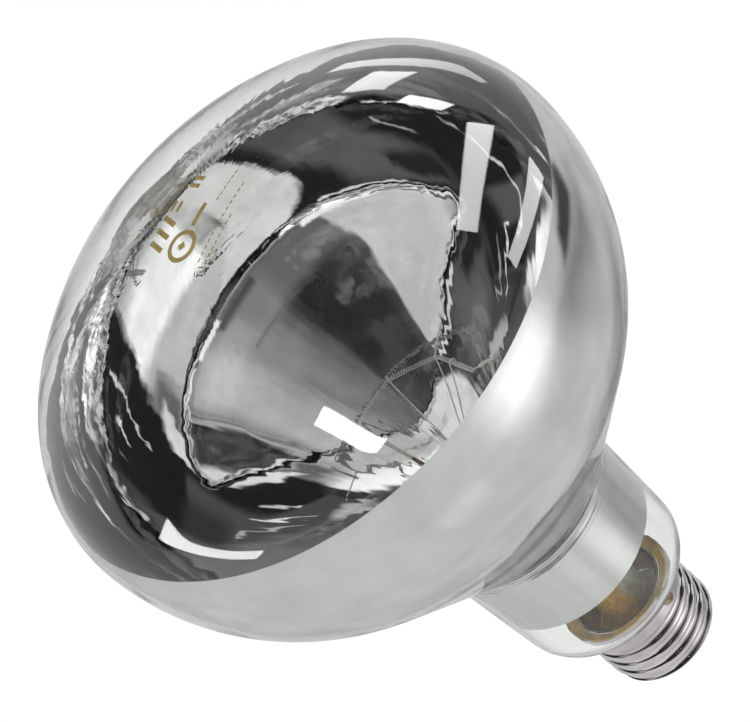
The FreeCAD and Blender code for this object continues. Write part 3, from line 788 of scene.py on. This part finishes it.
@dataclass(frozen=True)
class MirrorFinish(Finish):
    """Aluminium film with waves, thin scratches, pinholes and dark lines painted in the throat, which stand
    in for dark reflections in its ripples.
    """

    bright: Colour = (0.93, 0.93, 0.925)
    worn: Colour = (0.80, 0.80, 0.80)
    mark: Colour = (0.45, 0.45, 0.45)
    # Colour and share of the dark lines painted in the throat, a painted reflection of its ripples.
    painted_reflection_line: Colour = (0.16, 0.16, 0.15)
    painted_reflection_share: float = 0.0
    streaks: float = 20.0
    rings: float = 1.7
    throat_rings: float = 0.0
    streak_depth: float = 4.2e-5
    marked: float = 0.25
    roughness: Point = (0.012, 0.035)
    throat_polish: float = 0.25

    def build(self, effects: Effects) -> Material:
        """Make the material."""
        material, graph, shader = self.start()
        shader.inputs["Metallic"].default_value = 1.0
        patches = self.group(graph, effects.mottle, Scale=45.0, Grain=900.0)
        marks = self.group(graph, effects.scratch, Scale=260.0, Width=0.004, Specks=420.0)
        waves = self.group(graph, effects.flow, Streaks=self.streaks, Lumps=110.0, Streak_Share=0.75,
                           Rings=self.rings, Throat_Rings=self.throat_rings)
        base = graph.mix(patches.outputs["Patches"], self.bright, self.worn)
        spots = graph.math("MAXIMUM", marks.outputs["Scratches"], marks.outputs["Specks"])
        spoilt = graph.mix(graph.product(spots, self.marked), base, self.mark)
        # Painted reflection: dark lines mixed into the throat's colour.
        painted_reflection_share = graph.product(waves.outputs["Painted Lines"], self.painted_reflection_share)
        graph.feed(shader.inputs["Base Color"], graph.mix(painted_reflection_share, spoilt, self.painted_reflection_line))
        rough = graph.ramp(patches.outputs["Grain"], 0.3, 0.8, *self.roughness)
        polish = graph.ramp(waves.outputs["Throat"], 0.0, 1.0, 1.0, self.throat_polish)
        graph.feed(shader.inputs["Roughness"], graph.math("MULTIPLY", rough, polish))
        self.bump(graph, shader, waves.outputs["Height"], self.streak_depth)
        return material


@dataclass(frozen=True)
class MetalFinish(Finish):
    """Metal with patches of tarnish, fine grain and thin scratches."""

    bright: Colour = (0.8, 0.8, 0.8)
    dull: Colour = (0.5, 0.5, 0.5)
    smooth: float = 0.1
    rough: float = 0.3
    patch_scale: float = 160.0
    grain_scale: float = 2500.0
    grain_depth: float = 4e-6
    scratched: float = 0.3
    metallic: float = 1.0

    def build(self, effects: Effects) -> Material:
        """Make the material."""
        material, graph, shader = self.start()
        shader.inputs["Metallic"].default_value = self.metallic
        patches = self.group(graph, effects.mottle, Scale=self.patch_scale, Grain=self.grain_scale)
        marks = self.group(graph, effects.scratch, Scale=700.0, Width=0.01, Specks=1500.0)
        base = graph.mix(patches.outputs["Patches"], self.bright, self.dull)
        worn = graph.math("MULTIPLY", marks.outputs["Scratches"], self.scratched)
        graph.feed(shader.inputs["Base Color"], graph.mix(worn, base, self.dull))
        spread = graph.math("MAXIMUM", patches.outputs["Patches"], worn)
        graph.feed(shader.inputs["Roughness"], graph.ramp(spread, 0.0, 1.0, self.smooth, self.rough))
        self.bump(graph, shader, patches.outputs["Grain"], self.grain_depth)
        return material


@dataclass(frozen=True)
class ClayFinish(Finish):
    """Hard mixed stuff such as cement or black glass, from two mottled colours."""

    light: Colour = (0.5, 0.4, 0.2)
    dark: Colour = (0.2, 0.15, 0.1)
    roughness: Point = (0.35, 0.7)
    patch_scale: float = 140.0
    grain_scale: float = 1200.0
    grain_depth: float = 1e-4
    coat: float = 0.0

    def build(self, effects: Effects) -> Material:
        """Make the material."""
        material, graph, shader = self.start()
        patches = self.group(graph, effects.mottle, Scale=self.patch_scale, Grain=self.grain_scale)
        graph.feed(shader.inputs["Base Color"], graph.mix(patches.outputs["Patches"], self.light, self.dark))
        rough = graph.ramp(patches.outputs["Grain"], 0.3, 0.7, *self.roughness)
        graph.feed(shader.inputs["Roughness"], rough)
        shader.inputs["Coat Weight"].default_value = self.coat
        shader.inputs["Coat Roughness"].default_value = 0.08
        self.bump(graph, shader, patches.outputs["Grain"], self.grain_depth)
        return material


# Camera

@dataclass
class Viewpoint:
    """Camera at the photograph's viewing angle."""

    place: Triple = (0.0026, -0.5754, 0.6000)
    right: Triple = (0.6585, -0.4834, -0.5768)
    up: Triple = (0.7525, 0.4230, 0.5047)
    lens: float = 183.4
    sensor: float = 36.0
    clip: Point = (0.01, 50.0)
    photo_wide: int = 750
    photo_high: int = 722

    def axes(self) -> tuple[Vector, Vector, Vector]:
        """Give the camera's right, up and back."""
        right = Vector(self.right).normalized()
        back = right.cross(Vector(self.up)).normalized()
        return right, back.cross(right), back

    def ray(self, point: Point) -> Vector:
        """Give the direction that a point of the photograph, in pixels, is seen in."""
        focal = self.lens / self.sensor * self.photo_wide
        right, up, back = self.axes()
        aside = right * (point[0] - self.photo_wide / 2)
        return (aside - up * (point[1] - self.photo_high / 2) - back * focal).normalized()

    def build(self) -> None:
        """Add the camera and make it the scene's own."""
        deselect()
        bpy.ops.object.camera_add(location=self.place)
        camera = bpy.context.object
        camera.name = "photograph_view"
        turned = Matrix(self.axes()).transposed().to_4x4()
        camera.matrix_world = Matrix.Translation(Vector(self.place)) @ turned
        camera.data.lens = self.lens
        camera.data.sensor_width = self.sensor
        camera.data.clip_start, camera.data.clip_end = self.clip
        bpy.context.scene.camera = camera


# Studio

@dataclass(frozen=True)
class Patch:
    """Soft-edged patch of the studio by azimuth and elevation in degrees, which may lean sideways."""

    azimuth: float
    elevation: float
    half_wide: float
    half_high: float
    soft: float
    level: float
    lean: float = 0.0


@dataclass(frozen=True)
class Softbox:
    """Bright rectangle that the face reflects between two points of the photograph, in pixels."""

    start: Point
    end: Point
    half_width: float
    level: float

    def frame(self, view: Viewpoint, envelope: Envelope) -> tuple[Vector, Vector, Vector, float]:
        """Give its middle, its long and cross directions and half its length."""
        eye = Vector(view.place) / MM
        first, last = (envelope.reflect(eye, view.ray(point)) for point in (self.start, self.end))
        middle = (first + last).normalized()
        along = (last - first).normalized()
        half = (last - first).length / 2 / first.dot(middle)
        return middle, along, middle.cross(along), half


@dataclass
class Studio:
    """Two skies of grey patches, set for the photograph's view, bright boxes, lamps and a floor."""

    view: Viewpoint
    envelope: Envelope
    dark: float = 0.022
    cloud_scale: float = 7.0
    cloud_band: Point = (0.38, 0.58)
    cloud_levels: Point = (0.2, 1.35)
    box_edge: float = 0.006
    box_ahead: Point = (0.05, 0.1)
    floor_height: float = -0.30
    floor_size: float = 6.0
    floor_colour: Colour = (0.12, 0.12, 0.12)
    floor_glow: float = 0.95
    area_lamps: tuple[tuple[str, Triple, float, float], ...] = (
        ("key", (0.5, -0.6, 0.9), 0.5, 9.0), ("fill", (-0.7, -0.4, 0.5), 0.7, 6.0))
    single: tuple[Patch, ...] = (
        Patch(0, -37, 200, 53, 1, 0.64), Patch(0, 26, 48, 10.5, 1.5, 0.12),
        Patch(36, 45, 26, 8, 9, 0.45), Patch(-10, 27, 32, 9, 5, 0.17),
        Patch(14, 29, 15, 11, 6, 0.27), Patch(32, 28, 14, 10, 7, 0.46),
        Patch(46, 28, 13, 10, 6, 0.66), Patch(4, 37.8, 22, 0.3, 0.9, 0.17),
        Patch(-26, 45, 18, 8, 5, 0.03), Patch(-30, 38, 10, 6, 5, 0.04),
        Patch(60.0, 27, 0.6, 13, 0.5, 0.40), Patch(63.0, 27, 1.4, 13, 0.9, 0.50),
        Patch(70.0, 27, 2.0, 13, 3.0, 0.10), Patch(14, 19, 12, 2, 2, 0.08),
        Patch(75, 25, 6, 9, 3, 0.05), Patch(90, 26, 8, 9, 2, 0.9),
        Patch(-68, 27, 30, 13, 1.5, 0.72, -0.68), Patch(-95, 26, 9, 10, 3, 0.25),
        Patch(-46, 16.5, 20, 1.5, 0.8, 1.15), Patch(31, 16.5, 9, 1.2, 0.8, 1.15),
        Patch(34, -22, 17, 24, 12, 1.45), Patch(88, -38, 26, 12, 14, 0.24),
        Patch(90, -19, 14, 7, 3, 0.01, 0.4), Patch(145, -58, 22, 7, 9, 0.30),
        Patch(-15, -54, 13, 5, 4, 0.78),
    )
    repeated: tuple[Patch, ...] = (
        Patch(0, -45, 200, 45, 2, 0.52), Patch(-128, 32, 64, 36, 6, 0.80),
        Patch(-112, 57, 52, 11, 5, 1.55), Patch(-74, 20, 12, 16, 7, 0.22),
        Patch(-54, 14, 10, 13, 2.5, 1.15, -0.6), Patch(58, 36, 30, 24, 10, 0.15),
        Patch(42, 27, 14, 8, 4, 0.03), Patch(150, 36, 34, 36, 4, 1.0, -0.7),
        Patch(-7, 53, 0.9, 10, 0.6, 1.2), Patch(-27, 45, 1.4, 7, 0.9, 0.95),
        Patch(11, 52, 1.6, 10, 1.0, 0.5), Patch(128, 60, 22, 7, 6, 0.9),
        Patch(88, 6, 28, 4, 2, 1.0), Patch(8, 71, 34, 3, 2, 0.55),
    )
    softboxes: tuple[Softbox, ...] = (
        Softbox((481, 124), (467, 231), 0.046, 13.0),
        Softbox((537, 166), (512, 262), 0.10, 12.0),
        Softbox((318, 415), (383, 446), 0.05, 24.0),
        Softbox((163, 528), (260, 555), 0.06, 16.0),
        Softbox((402, 98), (447, 107), 0.032, 14.0),
        Softbox((363, 90), (396, 71), 0.06, 7.0),
        Softbox((336, 68), (484, 82), 0.035, 4.0),
    )

    def patch_mask(self) -> Tree:
        """Build the group that masks one soft-edged patch."""
        labels = ("Azimuth", "Elevation", "Middle", "Middle Up", "Half Wide", "Half High", "Soft", "Lean")
        group, graph, entry, leave = new_group("sky_patch", dict.fromkeys(labels, 0.0), ["Mask"])
        get = entry.outputs
        climbed = graph.math("SUBTRACT", get["Elevation"], get["Middle Up"])
        leant = graph.math("MULTIPLY", climbed, get["Lean"])
        turned = graph.math("SUBTRACT", graph.math("SUBTRACT", get["Azimuth"], get["Middle"]), leant)
        wrapped = graph.math("ABSOLUTE", graph.math("WRAP", turned, 180.0, -180.0))
        raised = graph.math("ABSOLUTE", climbed)
        masks = []
        for value, half in ((wrapped, get["Half Wide"]), (raised, get["Half High"])):
            low = graph.math("SUBTRACT", half, get["Soft"])
            high = graph.math("ADD", half, get["Soft"])
            masks.append(graph.ramp(value, low, high, 1.0, 0.0))
        graph.feed(leave.inputs["Mask"], graph.math("MULTIPLY", *masks))
        return group

    def paint(self, graph: Graph, group: Tree, azimuth: Socket,
              elevation: Socket, patches: tuple[Patch, ...]) -> Socket:
        """Lay patches over the dark studio by a way's azimuth and elevation, each over those before it."""
        level: object = self.dark
        for patch in patches:
            node = graph.tree.nodes.new("ShaderNodeGroup")
            node.node_tree = group
            values = (azimuth, elevation, patch.azimuth, patch.elevation, patch.half_wide, patch.half_high,
                      patch.soft, patch.lean)
            for socket, value in zip(node.inputs, values):
                graph.feed(socket, value)
            level = graph.blend(node.outputs[0], level, patch.level)
        return level

    def skies(self, graph: Graph, way: Socket, glossy: Socket) -> object:
        """Paint the sky of the first reflection and that of the later ones, which clouds break up."""
        axes = graph.add("SeparateXYZ", {0: way}).outputs
        turn = graph.math("ARCTAN2", axes["X"], graph.product(axes["Y"], -1.0))
        azimuth = graph.math("DEGREES", turn)
        elevation = graph.math("DEGREES", graph.math("ARCSINE", axes["Z"]))
        mask_group = self.patch_mask()
        first, later = (self.paint(graph, mask_group, azimuth, elevation, patches)
                        for patches in (self.single, self.repeated))
        cloud = graph.ramp(graph.noise(way, self.cloud_scale, 1.0), *self.cloud_band, *self.cloud_levels)
        later = graph.product(later, graph.blend(graph.reaches(glossy, 3), 1.0, cloud))
        return graph.blend(graph.reaches(glossy, 2), first, later)

    def box_mask(self, graph: Graph, way: Socket, box: Softbox) -> Socket:
        """Mask the directions that a bright box takes up."""
        middle, along, across, half = box.frame(self.view, self.envelope)
        ahead = graph.vector("DOT_PRODUCT", way, middle).outputs["Value"]
        masks = [graph.ramp(ahead, *self.box_ahead)]
        for side, reach in ((along, half), (across, box.half_width)):
            aside = graph.math("DIVIDE", graph.vector("DOT_PRODUCT", way, side).outputs["Value"], ahead)
            ends = (reach - self.box_edge, reach + self.box_edge)
            masks.append(graph.ramp(graph.math("ABSOLUTE", aside), *ends, 1.0, 0.0))
        return graph.product(*masks)

    def sky(self) -> None:
        """Paint the world by what a ray met before it.

        It is white for the camera, also through glass, and else shows the two skies. Sharp
        reflections off the outside of the glass see the bright boxes too.
        """
        world = bpy.data.worlds.new("studio")
        bpy.context.scene.world = world
        world.use_nodes = True
        graph = Graph(world.node_tree)
        way = graph.vector("NORMALIZE", graph.add("TexCoord").outputs["Generated"]).outputs[0]
        path = graph.add("LightPath").outputs
        level = self.skies(graph, way, path["Glossy Depth"])
        outside = graph.math("SUBTRACT", 1.0, graph.reaches(path["Transmission Depth"], 1))
        outer = graph.product(path["Is Glossy Ray"], path["Is Singular Ray"], outside)
        for box in self.softboxes:
            level = graph.blend(graph.product(self.box_mask(graph, way, box), outer), level, box.level)
        straight = graph.math("SUBTRACT", 1.0, graph.reaches(path["Glossy Depth"], 1))
        scattered = graph.reaches(path["Diffuse Depth"], 1)
        through = graph.product(path["Is Transmission Ray"], graph.math("MAXIMUM", straight, scattered))
        seen = graph.math("MAXIMUM", path["Is Camera Ray"], through)
        background = world.node_tree.nodes["Background"]
        background.inputs["Color"].default_value = (1, 1, 1, 1)
        graph.feed(background.inputs["Strength"], graph.blend(seen, level, 1.0))

    def floor(self) -> None:
        """Lay the pale floor, which only the camera sees."""
        deselect()
        bpy.ops.mesh.primitive_plane_add(size=self.floor_size, location=(0, 0, self.floor_height))
        plane = bpy.context.object
        plane.name = "studio_floor"
        plane.visible_glossy = plane.visible_transmission = False
        plane.visible_diffuse = plane.visible_shadow = False
        material = bpy.data.materials.new("pale_floor")
        material.use_nodes = True
        graph = Graph(material.node_tree)
        shader = material.node_tree.nodes["Principled BSDF"]
        shader.inputs["Base Color"].default_value = (*self.floor_colour, 1)
        shader.inputs["Roughness"].default_value = 1.0
        shader.inputs["Specular IOR Level"].default_value = 0.0
        shader.inputs["Emission Color"].default_value = (1, 1, 1, 1)
        glow = graph.product(graph.add("LightPath").outputs["Is Camera Ray"], self.floor_glow)
        graph.feed(shader.inputs["Emission Strength"], glow)
        plane.data.materials.append(material)

    def lamps(self) -> None:
        """Hang the area lamps, which only add light to matt surfaces."""
        for name, place, size, power in self.area_lamps:
            deselect()
            bpy.ops.object.light_add(type="AREA", location=place)
            lamp = bpy.context.object
            lamp.name = name
            lamp.data.size = size
            lamp.data.energy = power
            lamp.visible_glossy = lamp.visible_transmission = lamp.visible_camera = False
            lamp.rotation_euler = Vector(place).to_track_quat("Z", "Y").to_euler()

    def build(self) -> None:
        """Set up the sky, the floor, the lamps and the view transform."""
        self.sky()
        self.floor()
        self.lamps()
        bpy.context.scene.view_settings.view_transform = "Standard"


# Pieces and their finishes

@dataclass
class Dressing:
    """Finishes of the pieces, by the nodes that carry them."""

    effects: Effects
    pieces: dict[str, Finish] = field(default_factory=lambda: {
        "envelope_glass": GlassFinish("blown_glass"),
        "mirror_film": MirrorFinish("aluminium_film"),
        # The film's back has dark lines painted in its throat, standing in for dark reflections in its
        # ripples.
        "mirror_film:1": MirrorFinish(
            "film_back", bright=(0.90, 0.90, 0.895), worn=(0.80, 0.80, 0.80), streaks=16.0, rings=0.25,
            throat_rings=3.0, painted_reflection_share=0.8, streak_depth=1.2e-5, marked=0.1, roughness=(0.10, 0.16)),
        "stem_flare stem_cane exhaust_tube": StemFinish("stem_glass"),
        "seal_wire_a seal_wire_b outer_lead_side outer_lead_centre": MetalFinish(
            "copper_clad_wire", bright=(0.42, 0.20, 0.10), dull=(0.16, 0.09, 0.06), smooth=0.35, rough=0.6),
        "inner_lead_a inner_lead_b": MetalFinish(
            "nickel_wire", bright=(0.88, 0.86, 0.82), dull=(0.70, 0.67, 0.63), smooth=0.2, rough=0.4,
            metallic=0.2),
        "filament": MetalFinish(
            "tungsten", bright=(0.82, 0.82, 0.80), dull=(0.60, 0.60, 0.60), smooth=0.3, rough=0.5,
            metallic=0.1),
        "filament_support_a filament_support_b filament_support_c": MetalFinish(
            "molybdenum", bright=(0.86, 0.86, 0.84), dull=(0.66, 0.66, 0.66), smooth=0.2, rough=0.4,
            metallic=0.15),
        "cap_shell": MetalFinish(
            "nickel_plate", bright=(0.82, 0.785, 0.805), dull=(0.64, 0.61, 0.625), smooth=0.10, rough=0.2,
            patch_scale=90.0),
        "contact_plate": MetalFinish(
            "contact_metal", bright=(0.74, 0.70, 0.62), dull=(0.5, 0.46, 0.4), smooth=0.2, rough=0.4),
        "centre_solder": MetalFinish(
            "solder", bright=(0.70, 0.70, 0.69), dull=(0.38, 0.38, 0.38), smooth=0.25, rough=0.5,
            grain_depth=2e-5),
        "side_solder": MetalFinish(
            "flux_browned_solder", bright=(0.46, 0.36, 0.26), dull=(0.16, 0.09, 0.05), smooth=0.2, rough=0.5,
            patch_scale=600.0, grain_depth=3e-5, metallic=0.4),
        "crown_marks": MetalFinish(
            "stamp_ink", bright=(0.47, 0.36, 0.14), dull=(0.36, 0.27, 0.10), smooth=0.3, rough=0.5,
            patch_scale=500.0, metallic=0.3),
        "cap_insulator": ClayFinish(
            "black_glass", light=(0.03, 0.03, 0.035), dark=(0.01, 0.01, 0.012), roughness=(0.08, 0.2),
            grain_depth=1e-5),
        "capping_cement cement_bed": ClayFinish(
            "cement", light=(0.95, 0.62, 0.12), dark=(0.50, 0.32, 0.07), roughness=(0.3, 0.6),
            patch_scale=220.0, coat=0.3),
    })

    def apply(self) -> None:
        """Give every piece its material."""
        for names, finish in self.pieces.items():
            material = finish.build(self.effects)
            for name in names.split():
                piece, _, place = name.partition(":")
                obj = bpy.data.objects[piece]
                if obj.material_slots and not place:
                    obj.material_slots[0].material = material
                else:
                    obj.data.materials.append(material)
                LOG.info("%s takes %s", name, finish.name)


def main() -> None:
    """Build the lamp's pieces, its finishes and the studio."""
    logging.basicConfig(level=logging.INFO, format="%(message)s")
    view = Viewpoint()
    view.build()
    envelope = Envelope()
    glass = envelope.glass()
    envelope.film()
    CementBed().build()
    Stamp().build(glass)
    Dressing(Effects()).apply()
    Studio(view, envelope).build()


if __name__ == "__main__":
    main()
